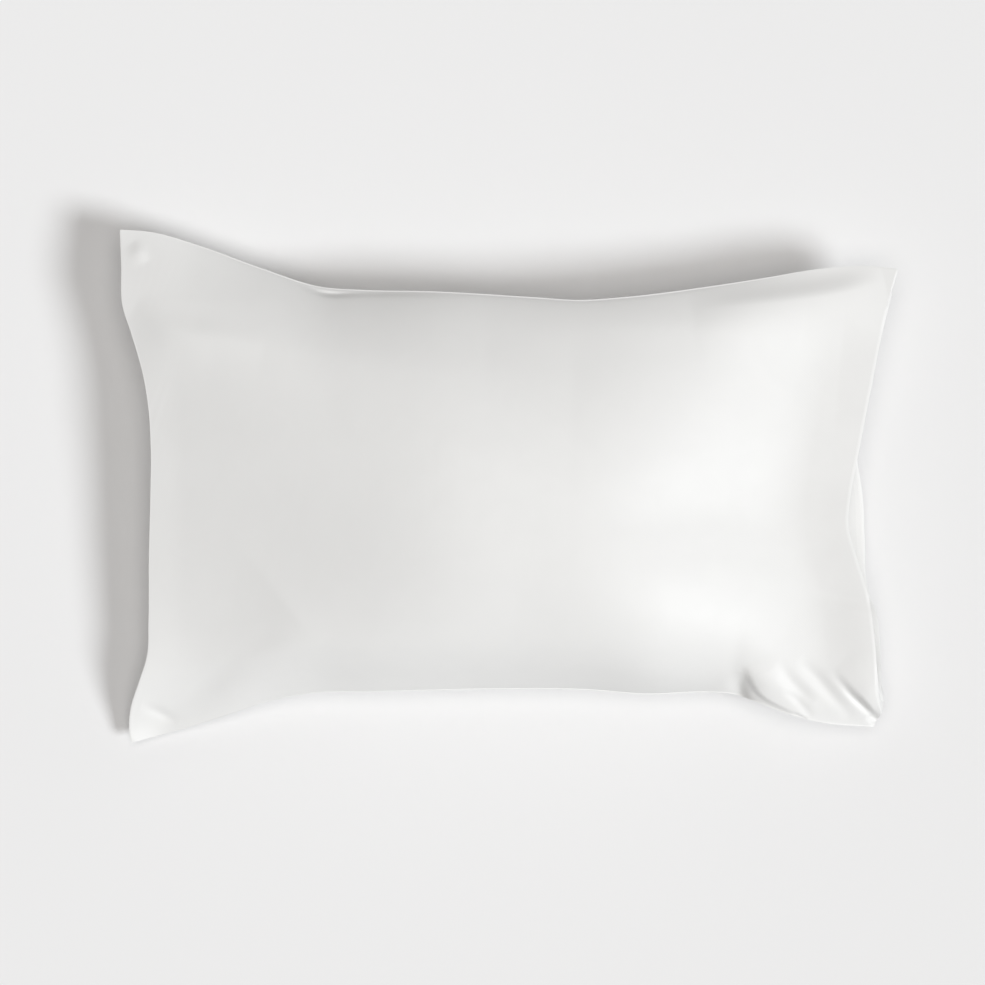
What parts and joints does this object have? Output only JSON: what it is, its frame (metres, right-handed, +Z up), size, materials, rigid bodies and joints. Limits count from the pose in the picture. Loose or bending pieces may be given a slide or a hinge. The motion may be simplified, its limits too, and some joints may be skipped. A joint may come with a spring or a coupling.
{
  "type": "pillowcase on its pillow",
  "caption": "White satin pillowcase filled with its pillow, lying on its back, with drawn-in sides, thin pointed corners, a crowned face and an open mouth with a tuck-in flap",
  "frame": {"origin": "the centre of the whole outline, on the surface that the pillow lies on", "axes": "+X along the length, out of the mouth; +Y across, to the far side; +Z up, out of the front"},
  "size_m": [0.7229, 0.4817, 0.1335],
  "materials": {
    "case_satin": "white satin weave with a broad soft gloss",
    "flap_satin": "white satin weave with a broad soft gloss, a little greyer in the mouth's shade"
  },
  "bodies": {
    "root": {"filled_case": "case_satin", "tuck_flap": "flap_satin"}
  },
  "joints": []
}
